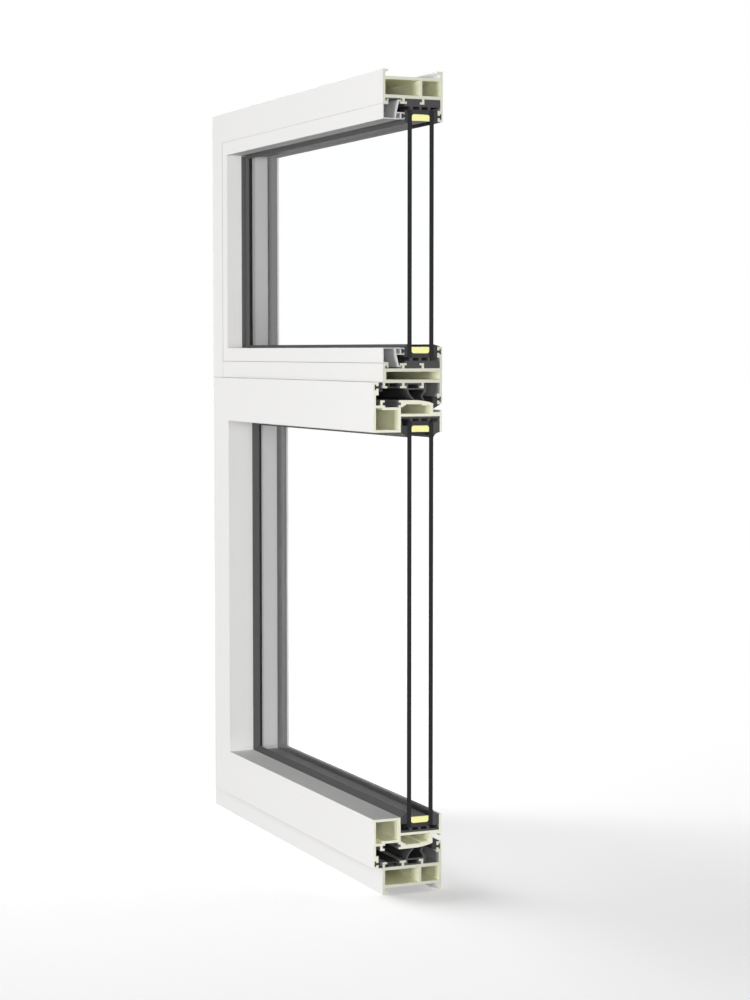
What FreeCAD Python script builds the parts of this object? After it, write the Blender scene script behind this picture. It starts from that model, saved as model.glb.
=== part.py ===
"""Cut-away corner sample of a tilt and turn window in pultruded fibreglass profiles.

The sample is the left end of a window: a frame of head, jamb and sill, a transom across it, a fixed
pane above the transom and a tilt and turn sash below it. Head, transom, sill, rails and glass all stop
at one vertical cut on the right, where every profile shows its section.

Frame of the model: X runs along the width with the cut at +X, Y runs from the room side (-Y) to the
weather side (+Y), and Z is up. The origin is on the surface that the frame's legs stand on, in the
middle of the box. Every profile is drawn as (deep, high): deep is the distance behind the frame's room
face, and high is the distance from the outer edge of its bay towards the glass.
"""

import FreeCAD, Part
import math
import os
import types

import Sketcher

DOC = FreeCAD.newDocument("TiltAndTurnWindow")
SHEET = DOC.addObject("Spreadsheet::Sheet", "Sizes")

# Driving dimensions in millimetres: alias, value and what it measures.
SIZES = (
    ("window_wide", 418.6, "outer edge of the jamb to the cut"),
    ("window_tall", 688.3, "foot of the sill's legs to the top of the head's legs"),
    ("transom_middle", 436.4, "height of the middle of the transom"),
    ("bay_overlap", 17.4, "each bay's edge line lies this far past the transom's middle"),
    ("wall", 2.2, "wall of the frame and sash profiles"),
    ("arris", 0.6, "radius on the outer edges of the frame, transom and sash"),
    ("seam_round", 0.35, "radius on the edges that meet in the line between bead and frame"),
    ("chamber_round", 0.5, "radius in the corners of the chambers"),
    ("slack", 0.1, "play between a clipped piece and its seat"),
    ("leg_foot", 5.0, "width of the hooked tip of a frame leg"),
    ("leg_tip", 1.2, "thickness of the tip at its end"),
    ("leg_slope", 2.7, "height at which the tip runs out into the leg"),
    ("base_low", 5.7, "underside of the frame's outer wall"),
    ("base_thick", 2.5, "thickness of the frame's outer wall"),
    ("web_deep", 33.5, "room side of the web between the two chambers"),
    ("floor_high", 23.4, "surface of the rebate floor"),
    ("floor_thick", 2.7, "thickness of the rebate floor"),
    ("lip_high", 27.8, "top of the frame's face and of its lips"),
    ("lip_thick", 1.8, "thickness of the lips"),
    ("lip_reach", 1.9, "overhang of a lip past its stem"),
    ("tee_deep", 17.6, "room side of the T lip's stem"),
    ("ell_deep", 35.4, "room side of the L lip's stem"),
    ("upstand_high", 41.5, "top of the weather side upstand"),
    ("groove_lip", 2.1, "thickness of the lips of a gasket groove"),
    ("groove_room", 1.4, "room behind the lips of a gasket groove"),
    ("groove_skin", 1.1, "wall behind a gasket groove"),
    ("groove_wide", 4.6, "width of a gasket groove behind its lips"),
    ("groove_inset", 1.25, "overhang of each lip of a gasket groove"),
    ("groove_rim", 1.9, "wall between the groove and the top of the upstand"),
    ("groove_heel", 2.6, "wall between the groove and the hollow below it"),
    ("transom_face", 3.2, "room face wall of the transom"),
    ("glass_deep", 22.3, "face of the inner pane behind the frame's room face"),
    ("pane_thick", 4.0, "thickness of each pane"),
    ("pane_gap", 16.0, "gap between the panes"),
    ("spacer_high", 5.3, "height of the spacer bar"),
    ("spacer_round", 2.0, "radius on the buried corners of the spacer bar"),
    ("seal_high", 3.8, "height of the seal round the edge of the glass"),
    ("fixed_glass_high", 32.2, "edge of the fixed glass"),
    ("packer_high", 29.8, "top of the glazing packer's bed"),
    ("packer_rib", 1.9, "thickness of each rib of the packers"),
    ("bead_high", 40.7, "top of the glazing bead"),
    ("bead_wall", 0.9, "wall of the glazing bead"),
    ("bead_foot", 24.0, "bottom of the bead's feet"),
    ("bead_leg", 11.1, "room side of the bead's sprung leg at its top"),
    ("bead_lean", 0.5, "lean of the sprung leg beside the gasket socket"),
    ("socket_deep", 3.6, "outside depth of the bead's gasket socket"),
    ("socket_high", 5.9, "outside height of the bead's gasket socket"),
    ("socket_lip", 0.5, "thickness of the socket's lips"),
    ("bead_gasket", 2.8, "thickness of the gasket between bead and glass"),
    ("blade_thick", 1.2, "thickness of that gasket's blade at its ends"),
    ("blade_rise", 2.9, "how far the blade stands above the bead"),
    ("blade_drop", 2.3, "how far the blade hangs below the bead's socket"),
    ("outer_gasket", 3.5, "thickness of the gasket between outer pane and upstand"),
    ("outer_gasket_rise", 2.0, "how far that gasket stands above the upstand on the glass"),
    ("gasket_rim", 0.4, "thickness of a gasket's lip over the rim of the upstand"),
    ("overlap_gap", 3.8, "gap between the frame's face and the sash's gasket groove"),
    ("lobe_span", 3.7, "reach of the overlap gasket's lobes from its middle"),
    ("lobe_round", 1.3, "radius of the lobes"),
    ("lobe_dip", 1.8, "depth of the hollow between the lobes"),
    ("sash_low", 22.7, "outer edge of the sash"),
    ("sash_face", 41.9, "width of the sash's room face"),
    ("sash_lip", 37.8, "level of the lips of the hardware groove"),
    ("sash_groove_high", 27.0, "middle of the overlap gasket's groove"),
    ("sash_groove_heel", 4.3, "wall above that groove"),
    ("hardware_near", 1.8, "room side of the mouth of the hardware groove"),
    ("hardware_far", 14.8, "weather side of the mouth of the hardware groove"),
    ("hardware_under", 1.8, "undercut of the hardware groove on each side"),
    ("hardware_slot", 2.4, "height of the undercut"),
    ("hardware_roof", 43.7, "roof of the hardware groove"),
    ("rebate_gap", 3.6, "gap between the sash's nose and the upstand's gasket groove"),
    ("rebate_flap", 3.7, "how far the rebate gasket stands above the upstand"),
    ("nose_flat", 28.0, "where the nose begins to curve"),
    ("nose_rise", 2.8, "rise of the curved nose"),
    ("nose_wall", 3.4, "wall over the flat of the nose"),
    ("nose_step", 1.2, "height of each step in the floor of the weather chamber"),
    ("nose_root", 7.2, "width of the raised floor at the nose"),
    ("shelf_high", 51.4, "surface that carries the sash's glass"),
    ("heel_thick", 1.2, "extra thickness under that surface towards the weather"),
    ("drip_drop", 5.2, "drop of the drip lip below the carrying surface"),
    ("drip_thick", 1.1, "thickness of the drip lip"),
    ("flange_rise", 0.4, "how far the weather flange stands above the sash's top"),
    ("sash_glass_high", 56.0, "edge of the sash's glass"),
    ("seal_proud", 0.7, "how far the seal stands out past the edge of the sash's glass"),
    ("sash_liner", 1.8, "thickness of the liner on the carrying surface"),
    ("bond_high", 5.6, "height of the inner bond on the sash"),
    ("bond_lap", 4.2, "how far the inner bond rises from the sash to the glass"),
    ("bond_teeth", 1.1, "pitch of the teeth that key the inner bond to the sash"),
    ("bond_tooth", 0.3, "depth of those teeth"),
    ("bond_cover", 4.4, "how far the outer bond rises on the glass"),
    ("bond_hollow", 6.4, "radius of the outer bond's hollow face"),
    ("cover_low", 26.6, "underside of the slot covers"),
    ("cover_thick", 1.0, "thickness of the slot covers"),
    ("gasket_plate", 1.2, "thickness of the centre gasket's plate and walls"),
    ("fin_thick", 0.9, "thickness of the centre gasket's fins"),
    ("fin_bend", 12.0, "radius of the room side fin"),
    ("skirt_gap", 1.0, "gap between the L lip's stem and the centre gasket's skirt"),
    ("waist_in", 3.6, "how far the weather side fin leans back over the L lip"),
    ("waist_high", 4.6, "height of that fin's waist above the plate"),
    ("waist_bend", 5.5, "radius of that fin's bends"),
    ("fin_flare", 2.2, "how far its tip stands out again from the waist"),
)

TEETH = 5


class Length:
    """A length that follows the sheet: its number now, and the expression that keeps it bound."""

    def __init__(self, number, text):
        self.number = number
        self.text = text

    def __add__(self, other):
        other = length(other)
        return Length(self.number + other.number, f"({self.text} + {other.text})")

    def __sub__(self, other):
        other = length(other)
        return Length(self.number - other.number, f"({self.text} - {other.text})")

    def __mul__(self, times):
        return Length(self.number * times, f"({self.text} * {times})")

    def __neg__(self):
        return Length(-self.number, f"(0 - {self.text})")


def length(value):
    """The value as a Length; a plain number stays a plain number in the expression."""
    if isinstance(value, Length):
        return value
    return Length(float(value), str(value))


def fill_sheet():
    """Write every size to the sheet with its alias and its note, and return them by name."""
    for row, (alias, number, note) in enumerate(SIZES, start=1):
        SHEET.set(f"A{row}", note)
        SHEET.set(f"B{row}", str(number))
        SHEET.setAlias(f"B{row}", alias)
    DOC.recompute()
    return types.SimpleNamespace(**{alias: Length(number, f"Sizes.{alias}") for alias, number, _ in SIZES})


def add_edge(sketch, start, end):
    """Add the line or arc from start to end, and return its number and the numbers of its two ends."""
    ax, ay = start[0].number, start[1].number
    bx, by = end[0].number, end[1].number
    if len(start) == 2:
        line = Part.LineSegment(FreeCAD.Vector(ax, ay, 0), FreeCAD.Vector(bx, by, 0))
        return sketch.addGeometry(line), 1, 2
    turn = 1 if start[2].number > 0 else -1
    radius = abs(start[2].number)
    chord = math.hypot(bx - ax, by - ay)
    away = math.sqrt(max(radius * radius - chord * chord / 4, 0)) * turn / chord
    middle = FreeCAD.Vector((ax + bx) / 2 - (by - ay) * away, (ay + by) / 2 + (bx - ax) * away, 0)
    first = math.atan2(ay - middle.y, ax - middle.x)
    last = math.atan2(by - middle.y, bx - middle.x)
    if turn < 0:
        first, last = last, first
    circle = Part.Circle(middle, FreeCAD.Vector(0, 0, 1), radius)
    number = sketch.addGeometry(Part.ArcOfCircle(circle, first, last))
    return (number, 1, 2) if turn > 0 else (number, 2, 1)


def draw(sketch, corners, closed=True):
    """Draw an outline whose corners follow the sheet.

    A corner is (across, up), or (across, up, radius) where the edge that leaves it is an arc: it turns
    left with a positive radius and right with a negative one.
    """
    corners = [tuple(length(value) for value in corner) for corner in corners]
    following = corners[1:] + corners[:1] if closed else corners[1:]
    edges = [add_edge(sketch, *pair) for pair in zip(corners, following)]
    rules = []
    bound = []

    def rule(*terms, follows=None):
        if follows is not None:
            bound.append((sketch.ConstraintCount + len(rules), follows))
        rules.append(Sketcher.Constraint(*terms))

    for (near, _, near_end), (far, far_start, _) in zip(edges, edges[1:]):
        rule("Coincident", near, near_end, far, far_start)
    if closed:
        rule("Coincident", edges[-1][0], edges[-1][2], edges[0][0], edges[0][1])
    for place, corner in enumerate(corners):
        geometry, end = edges[place][:2] if place < len(edges) else (edges[-1][0], edges[-1][2])
        before = corners[place - 1] if place else None
        straight = before is not None and len(before) == 2
        for axis, (kind, along) in enumerate((("DistanceX", "Vertical"), ("DistanceY", "Horizontal"))):
            value = corner[axis]
            if straight and value.text == before[axis].text:
                rule(along, edges[place - 1][0])
            else:
                rule(kind, -1, 1, geometry, end, value.number, follows=value.text)
        if len(corner) == 3:
            size = corner[2] if corner[2].number > 0 else -corner[2]
            rule("Radius", geometry, size.number, follows=size.text)
    sketch.addConstraint(rules)
    for number, text in bound:
        sketch.setExpression(f"Constraints[{number}]", text)


def new_sketch(body, name, role):
    """A sketch on one of the body's own origin planes."""
    sketch = body.newObject("Sketcher::SketchObject", f"{body.Name}_{name}")
    plane = [feature for feature in body.Origin.OriginFeatures if feature.Role == role][0]
    sketch.AttachmentSupport = [(plane, "")]
    sketch.MapMode = "FlatFace"
    return sketch


def new_body(name, side, bay):
    """An empty body placed on one side of a bay, with its X along the side and its Z towards the glass."""
    body = DOC.addObject("PartDesign::Body", name)
    body.Label = name
    left = size.window_wide * -0.5
    turn = {"sill": 0, "jamb": 90, "head": 180}[side]
    across = size.window_wide * 0.5 if side == "head" else left
    up = bay.low if side == "sill" else bay.top
    body.Placement = FreeCAD.Placement(
        FreeCAD.Vector(across.number, room_face.number, up.number),
        FreeCAD.Rotation(FreeCAD.Vector(0, 1, 0), turn),
    )
    body.setExpression("Placement.Base.x", across.text)
    body.setExpression("Placement.Base.y", room_face.text)
    body.setExpression("Placement.Base.z", up.text)
    return body


def cut_mitres(body, side, run, reach):
    """Cut the 45 degree mitre at each end of a side that meets another side."""
    corners = []
    if side in ("sill", "jamb"):
        corners.append([(0, 0), (reach, reach), (0, reach)])
    if side in ("head", "jamb"):
        corners.append([(run, 0), (run, reach), (run - reach, reach)])
    for number, corner in enumerate(corners, start=1):
        sketch = new_sketch(body, f"mitre_{number}", "XZ_Plane")
        draw(sketch, corner)
        pocket = body.newObject("PartDesign::Pocket", f"{body.Name}_mitre_cut_{number}")
        pocket.Profile = sketch
        pocket.Type = "ThroughAll"
        pocket.SideType = "Symmetric"


def profile_length(name, loops, side, bay, mitred=True):
    """One straight length of a profile, mitred where it meets the next side of its bay."""
    body = new_body(name, side, bay)
    run = bay.top - bay.low if side == "jamb" else size.window_wide
    section = new_sketch(body, "section", "YZ_Plane")
    for loop in loops:
        draw(section, loop)
    pad = body.newObject("PartDesign::Pad", f"{name}_run")
    pad.Profile = section
    pad.Length = run.number
    pad.setExpression("Length", run.text)
    if mitred:
        reach = sash_top + size.pane_thick
        cut_mitres(body, side, run, reach)
    return body


def profile_ring(name, loops, bay):
    """A profile that runs from the cut along the sill, up the jamb and back along the head in one piece."""
    body = new_body(name, "sill", bay)
    route = new_sketch(body, "route", "XZ_Plane")
    high = bay.top - bay.low
    draw(route, [(size.window_wide, 0), (0, 0), (0, high), (size.window_wide, high)], closed=False)
    section = new_sketch(body, "section", "YZ_Plane")
    section.AttachmentOffset = FreeCAD.Placement(
        FreeCAD.Vector(0, 0, size.window_wide.number), FreeCAD.Rotation()
    )
    section.setExpression("AttachmentOffset.Base.z", size.window_wide.text)
    for loop in loops:
        draw(section, loop)
    sweep = body.newObject("PartDesign::AdditivePipe", f"{name}_sweep")
    sweep.Profile = (section, [])
    sweep.Spine = (route, [])
    sweep.Transition = "Right corner"
    return body


def pane(name, bay, edge, deep):
    """A sheet of glass from its edge in the jamb to the cut."""
    box = DOC.addObject("Part::Box", name)
    box.Label = name
    sizes = {
        "Length": size.window_wide - edge,
        "Width": size.pane_thick,
        "Height": bay.top - bay.low - edge - edge,
        "Placement.Base.x": edge - size.window_wide * 0.5,
        "Placement.Base.y": room_face + deep,
        "Placement.Base.z": bay.low + edge,
    }
    for field, value in sizes.items():
        box.setExpression(field, value.text)
    return box


def as_lengths(corner):
    """Both places of a corner as Lengths, and the radius of its arc if it has one."""
    return tuple(length(value) for value in corner)


def heading(start, end):
    """Which way an edge along an axis runs, as a step of -1, 0 or 1 in each direction."""
    return [(there.number > here.number) - (there.number < here.number) for here, there in zip(start, end)]


def rounded(before, corner, after, radius):
    """Two corners joined by an arc, for one corner between edges that run along the axes."""
    before, corner, after = map(as_lengths, (before, corner, after))
    arriving = heading(before, corner)
    leaving = heading(corner, after)
    turn = arriving[0] * leaving[1] - arriving[1] * leaving[0]
    start = [place - radius * step if step else place for place, step in zip(corner, arriving)]
    end = [place + radius * step if step else place for place, step in zip(corner, leaving)]
    return [(*start, radius * turn), tuple(end)]


def chamber(near, low, far, high):
    """The outline of a four-sided chamber with rounded corners."""
    corners = [(near, low), (near, high), (far, high), (far, low)]
    outline = []
    for place in range(4):
        outline += rounded(corners[place - 1], corners[place], corners[(place + 1) % 4], size.chamber_round)
    return outline


def groove(face, low, turn):
    """The outline of a gasket groove from its lower lip to its upper lip.

    face is the level of its lips, low the start of the wide part, and turn is 1 where the groove opens
    towards the room and -1 where it opens towards the weather.
    """
    lip = face + size.groove_lip * turn
    back = lip + size.groove_room * turn
    top = low + size.groove_wide
    return [
        (face, low + size.groove_inset),
        (lip, low + size.groove_inset),
        (lip, low),
        (back, low),
        (back, top),
        (lip, top),
        (lip, top - size.groove_inset),
        (face, top - size.groove_inset),
    ]


def gasket_root(face, low, turn):
    """The root of a gasket that fills a groove with a little slack, listed from the top down."""
    lip = face + size.groove_lip * turn
    back = lip + (size.groove_room - size.slack) * turn
    top = low + size.groove_wide
    neck = size.groove_inset + size.slack
    return [
        (face, top - neck),
        (lip, top - neck),
        (lip, top - size.slack),
        (back, top - size.slack),
        (back, low + size.slack),
        (lip, low + size.slack),
        (lip, low + neck),
        (face, low + neck),
    ]


def rebate():
    """The inner side of the frame and transom profiles, from the room face to the weather face."""
    return [
        *rounded((0, 0), (0, size.lip_high), (hook_back, size.lip_high), size.seam_round),
        (hook_back, size.lip_high),
        (hook_back, lip_low),
        (size.wall, lip_low),
        (size.wall, size.floor_high),
        (size.tee_deep, size.floor_high),
        (size.tee_deep, lip_low),
        (size.tee_deep - size.lip_reach, lip_low),
        (size.tee_deep - size.lip_reach, size.lip_high),
        (tee_back + size.lip_reach, size.lip_high),
        (tee_back + size.lip_reach, lip_low),
        (tee_back, lip_low),
        (tee_back, size.floor_high),
        (size.ell_deep, size.floor_high),
        (size.ell_deep, lip_low),
        (size.ell_deep - size.lip_reach, lip_low),
        (size.ell_deep - size.lip_reach, size.lip_high),
        (ell_back, size.lip_high),
        (ell_back, size.floor_high),
        (weather_wall, size.floor_high),
        (weather_wall, groove_low - size.groove_heel),
        (groove_face, groove_low - size.groove_heel),
        *groove(groove_face, groove_low, 1),
        (groove_face, size.upstand_high),
        *rounded((0, size.upstand_high), (frame_deep, size.upstand_high), (frame_deep, 0), size.arris),
    ]


def frame_profile():
    """The outer frame: two legs, two chambers and the rebate."""
    outline = [
        (0, 0),
        *rebate(),
        (frame_deep, 0),
        (frame_deep - size.leg_foot, 0),
        (frame_deep - size.leg_foot, size.leg_tip),
        (weather_wall, size.leg_slope),
        (weather_wall, size.base_low),
        (size.wall, size.base_low),
        (size.wall, size.leg_slope),
        (size.leg_foot, size.leg_tip),
        (size.leg_foot, 0),
    ]
    low = size.base_low + size.base_thick
    high = size.floor_high - size.floor_thick
    web_back = size.web_deep + size.wall
    room_chamber = chamber(size.wall, low, size.web_deep, high)
    weather_chamber = chamber(web_back, low, weather_wall, high)
    return [outline, room_chamber, weather_chamber]


def transom_profile():
    """The transom: the rebate above and below one long chamber."""
    upper = [(deep, high - size.bay_overlap, *arc) for deep, high, *arc in map(as_lengths, rebate())]
    top = size.floor_high - size.floor_thick - size.bay_overlap
    return [upper + mirrored(upper), chamber(size.transom_face, -top, weather_wall, top)]


def mirrored(corners):
    """The same outline upside down, listed the other way round, so that an arc leaves from its other end."""
    turned = []
    for place in reversed(range(len(corners))):
        deep, high = corners[place][:2]
        arc = corners[place - 1][2:] if place else ()
        turned.append((deep, -high, *arc))
    return turned


def make_frame():
    """Head, jamb and sill, with the jamb notched for the lips and the upstand of the transom."""
    profile_length("frame_head", frame_profile(), "head", window)
    profile_length("frame_sill", frame_profile(), "sill", window)
    jamb = profile_length("frame_jamb", frame_profile(), "jamb", window)
    middle = size.window_tall - size.transom_middle
    near = size.floor_high - size.bay_overlap
    wide = size.upstand_high - size.bay_overlap
    notch = [
        (middle - near, size.floor_high),
        (middle - wide, size.upstand_high),
        (middle + wide, size.upstand_high),
        (middle + near, size.floor_high),
    ]
    cut_from(jamb, "notch", [notch], hook_back, "weather")


def cut_from(body, name, loops, deep, way):
    """Cut outlines in the XZ plane from one depth outwards, to the weather side or to the room side."""
    sketch = new_sketch(body, name, "XZ_Plane")
    sketch.AttachmentOffset = FreeCAD.Placement(FreeCAD.Vector(0, 0, -deep.number), FreeCAD.Rotation())
    sketch.setExpression("AttachmentOffset.Base.z", (-deep).text)
    for loop in loops:
        draw(sketch, loop)
    pocket = body.newObject("PartDesign::Pocket", f"{body.Name}_{name}_cut")
    pocket.Profile = sketch
    pocket.Type = "ThroughAll"
    pocket.Reversed = way == "room"


def make_transom():
    """The transom: its face butts on the jamb's face, its lips and upstand are mitred into the notch."""
    body = DOC.addObject("PartDesign::Body", "transom")
    body.Label = "transom"
    start = size.floor_high - size.window_wide * 0.5
    body.setExpression("Placement.Base.x", start.text)
    body.setExpression("Placement.Base.y", room_face.text)
    body.setExpression("Placement.Base.z", size.transom_middle.text)
    section = new_sketch(body, "section", "YZ_Plane")
    for loop in transom_profile():
        draw(section, loop)
    pad = body.newObject("PartDesign::Pad", "transom_run")
    pad.Profile = section
    pad.setExpression("Length", (size.window_wide - size.floor_high).text)
    near = size.floor_high - size.bay_overlap
    rise = size.upstand_high - size.floor_high
    high = near + rise
    upper = [(0, near), (rise, high), (0, high)]
    lower = [(0, -near), (0, -high), (rise, -high)]
    cut_from(body, "bevel", [upper, lower], hook_back, "weather")
    step = size.lip_high - size.floor_high
    butt = [(0, -high), (step, -high), (step, high), (0, high)]
    cut_from(body, "butt", [butt], hook_back, "room")


def bead_profile():
    """The snap-in glazing bead: face, top, sprung leg with its barb, front foot and gasket socket."""
    wall = size.bead_wall
    seat = size.lip_high
    under_top = size.bead_high - wall
    web = socket_low + wall
    lip = bead_deep - size.socket_lip
    back = bead_deep - size.socket_deep + wall
    foot = hook_back + size.slack
    leg = size.bead_leg
    barb = lip_low - size.slack
    barb_leg = size.tee_deep - size.lip_reach - size.slack - wall
    outline = [
        *rounded((foot, seat), (0, seat), (0, size.bead_high), size.seam_round),
        *rounded((0, seat), (0, size.bead_high), (bead_deep, size.bead_high), size.seam_round),
        (bead_deep, size.bead_high),
        (bead_deep, under_top - wall),
        (lip, under_top - wall),
        (lip, under_top),
        (back, under_top),
        (back, web),
        (lip, web),
        (lip, web + wall),
        (bead_deep, web + wall),
        (bead_deep, socket_low),
        (leg + wall + size.bead_lean, socket_low),
        (barb_leg, barb),
        (size.tee_deep - wall, barb),
        (size.tee_deep - wall, barb - wall),
        (barb_leg - wall, barb - wall - size.bead_lean),
        (leg + size.bead_lean, socket_low),
        (leg, under_top),
        (wall, under_top),
        (wall, seat + wall),
        (foot + wall, seat + wall),
        (foot + wall, size.bead_foot),
        (foot, size.bead_foot),
        (foot, seat),
    ]
    chamber = [
        (leg + wall, under_top),
        (back - wall, under_top),
        (back - wall, web),
        (leg + wall + size.bead_lean, web),
    ]
    return [outline, chamber]


def bead_gasket_profile():
    """The gasket between bead and glass: a curved blade with a root in the bead's socket."""
    wall = size.bead_wall
    play = size.slack * 3
    lip = bead_deep - size.socket_lip
    root = bead_deep - size.socket_deep + wall + play
    low = socket_low + wall
    high = size.bead_high - wall
    blade = size.blade_thick
    top = size.bead_high + size.blade_rise
    foot = socket_low - size.blade_drop
    return [[
        (bead_deep, low + wall + size.slack),
        (lip, low + wall + size.slack),
        (lip, low + play),
        (root, low + play * 2),
        (root, high - play * 2),
        (lip, high - play),
        (lip, high - wall - size.slack),
        (bead_deep, high - wall - size.slack),
        (bead_deep, size.bead_high + size.slack),
        (size.glass_deep - blade, top - blade, blade * -2),
        (size.glass_deep, top),
        (size.glass_deep, foot + blade),
        (size.glass_deep - blade, foot, blade * -4),
        (bead_deep, socket_low - play),
    ]]


def upstand_gasket_profile(front, low, top):
    """A gasket rooted in the upstand's groove, from its front face to the groove, lapping the rim."""
    return [[
        (front, low),
        (front, top),
        (weather_wall, size.upstand_high + size.gasket_rim),
        (weather_wall, size.upstand_high),
        (groove_face, size.upstand_high),
        *gasket_root(groove_face, groove_low, 1),
        (groove_face, low),
    ]]


def ribs(bed, top):
    """The three ribs of a packer or liner: under each pane's inner edge and the middle of the glass."""
    corners = []
    half = size.packer_rib * 0.5
    for share in (0, 0.5, 1):
        middle = size.glass_deep + size.pane_thick + size.pane_gap * share
        corners += [(middle - half, bed), (middle - half, top), (middle + half, top), (middle + half, bed)]
    return corners


def packer_profile():
    """The glazing packer: a bed clipped round the T and L lips, with three ribs under the glass."""
    play = size.slack
    near = tee_back + play
    mouth = near + size.lip_reach
    bed = size.packer_high
    return [[
        (near, size.floor_high),
        (near, lip_low - play),
        (mouth, lip_low - play),
        (mouth, size.lip_high + play),
        (near, size.lip_high + play),
        (near, bed),
        *ribs(bed, size.fixed_glass_high),
        (weather_wall, bed),
        (weather_wall, size.floor_high),
        (ell_back + play, size.floor_high),
        (ell_back + play, size.lip_high + play),
        (size.ell_deep - size.lip_reach - play, size.lip_high + play),
        (size.ell_deep - size.lip_reach - play, lip_low - play),
        (size.ell_deep - play, lip_low - play),
        (size.ell_deep - play, size.floor_high),
    ]]


def spacer_profile(low):
    """The spacer bar between the panes, rounded on the side that is buried in the seal."""
    near = size.glass_deep + size.pane_thick
    far = near + size.pane_gap
    curve = size.spacer_round
    top = low + size.spacer_high
    return [[
        (near, low + curve),
        (near, top),
        (far, top),
        (far, low + curve, -curve),
        (far - curve, low),
        (near + curve, low, -curve),
    ]]


def edge_seal_profile(low):
    """The seal from the edge of the glass to the spacer bar, which sits in it."""
    near = size.glass_deep + size.pane_thick
    far = near + size.pane_gap
    curve = size.spacer_round
    bar = low + size.seal_high
    return [[
        (near, low),
        (near, bar + curve, curve),
        (near + curve, bar),
        (far - curve, bar, curve),
        (far, bar + curve),
        (far, low),
    ]]


def make_sealed_unit(light, bay, edge, seal_low):
    """Two panes, the spacer bar between them and the seal round their edge."""
    pane(f"{light}_inner_pane", bay, edge, size.glass_deep)
    pane(f"{light}_outer_pane", bay, edge, glass_back - size.pane_thick)
    profile_ring(f"{light}_edge_seal", edge_seal_profile(seal_low), bay)
    profile_ring(f"{light}_spacer", spacer_profile(seal_low + size.seal_high), bay)


def make_fixed_light():
    """The upper bay: beads, packers, gaskets and the sealed unit."""
    for side in ("head", "jamb", "sill"):
        profile_length(f"fixed_bead_{side}", bead_profile(), side, fixed)
        profile_length(f"fixed_packer_{side}", packer_profile(), side, fixed)
    profile_ring("fixed_inner_gasket", bead_gasket_profile(), fixed)
    low = groove_low - size.groove_heel
    top = size.upstand_high + size.outer_gasket_rise
    profile_ring("fixed_outer_gasket", upstand_gasket_profile(glass_back, low, top), fixed)
    make_sealed_unit("fixed", fixed, size.fixed_glass_high, size.fixed_glass_high)


def sash_profile():
    """The sash: gasket groove, hardware groove, two chambers, curved nose and glazing flange."""
    wall = size.wall
    face = -sash_proud
    back = face + wall
    lips = -size.overlap_gap
    groove_start = size.sash_groove_high - size.groove_wide * 0.5
    groove_end = groove_start + size.groove_wide + size.sash_groove_heel
    lip_roof = size.sash_lip + size.lip_thick
    under_near = size.hardware_near - size.hardware_under
    under_far = size.hardware_far + size.hardware_under
    under_top = lip_roof + size.hardware_slot
    shelf_under = size.shelf_high - wall
    heel = shelf_under - size.heel_thick
    flange_top = sash_top + size.flange_rise
    drip = frame_deep - size.drip_thick
    nose_radius = nose_radius_of(nose_back - size.nose_flat, size.nose_rise)
    outline = [
        *rounded((lips, size.sash_low), (face, size.sash_low), (face, sash_top), size.arris),
        *rounded((face, size.sash_low), (face, sash_top), (sash_inner, sash_top), size.arris),
        *bond_teeth(),
        (sash_inner, size.shelf_high),
        (weather_wall, size.shelf_high),
        (weather_wall, flange_top),
        *rounded((weather_wall, flange_top), (frame_deep, flange_top), (frame_deep, heel), size.arris),
        (frame_deep, size.shelf_high - size.drip_drop),
        (drip, size.shelf_high - size.drip_drop),
        (drip, heel),
        (nose_back, heel),
        (nose_back, size.sash_lip + size.nose_rise, -nose_radius),
        (size.nose_flat, size.sash_lip),
        (size.hardware_far, size.sash_lip),
        (size.hardware_far, lip_roof),
        (under_far, lip_roof),
        (under_far, under_top),
        (under_far - wall, under_top),
        (under_far - wall, size.hardware_roof),
        (under_near + wall, size.hardware_roof),
        (under_near + wall, under_top),
        (under_near, under_top),
        (under_near, lip_roof),
        (size.hardware_near, lip_roof),
        (size.hardware_near, size.sash_lip),
        (under_near - wall, size.sash_lip),
        (under_near - wall, under_top),
        (back, under_top),
        (back, groove_end),
        (lips, groove_end),
        *reversed(groove(lips, groove_start, -1)),
        (lips, size.sash_low),
    ]
    room_chamber = [
        (back, under_top + wall),
        (back, sash_top - wall),
        (sash_inner - wall, sash_top - wall),
        (sash_inner - wall, size.hardware_roof + wall),
        (under_near, size.hardware_roof + wall),
        (under_near, under_top + wall),
    ]
    low = size.sash_lip + size.nose_wall
    middle = low + size.nose_step
    high = middle + size.nose_step
    root = nose_back - wall - size.nose_root
    weather_chamber = [
        (sash_inner, high),
        (sash_inner, shelf_under),
        (nose_back - wall, shelf_under),
        (nose_back - wall, middle),
        (root, middle),
        (root - size.nose_step, low),
        (sash_inner + wall + wall, low),
        (sash_inner + wall + wall, middle),
        (sash_inner + wall, middle),
        (sash_inner + wall, high),
    ]
    return [outline, room_chamber, weather_chamber]


def nose_radius_of(run, rise):
    """Radius of the arc that leaves a flat tangentially and rises by rise over run."""
    number = (run.number ** 2 + rise.number ** 2) / (2 * rise.number)
    return Length(number, f"(({run.text} ^ 2 + {rise.text} ^ 2) / (2 * {rise.text}))")


def bond_teeth():
    """The saw teeth down the sash's glass side, which key the bond."""
    corners = [(sash_inner, sash_top)]
    for number in range(TEETH):
        top = sash_top - size.bond_teeth * number
        corners.append((sash_inner - size.bond_tooth, top - size.bond_teeth * 0.5))
        corners.append((sash_inner, top - size.bond_teeth))
    return corners


def liner_profile():
    """The liner on the sash's carrying surface, with three ribs up to the edge seal."""
    bed = size.shelf_high + size.sash_liner
    return [[
        (sash_inner, size.shelf_high),
        (sash_inner, bed),
        *ribs(bed, sash_seal_low),
        (weather_wall, bed),
        (weather_wall, size.shelf_high),
    ]]


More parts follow.
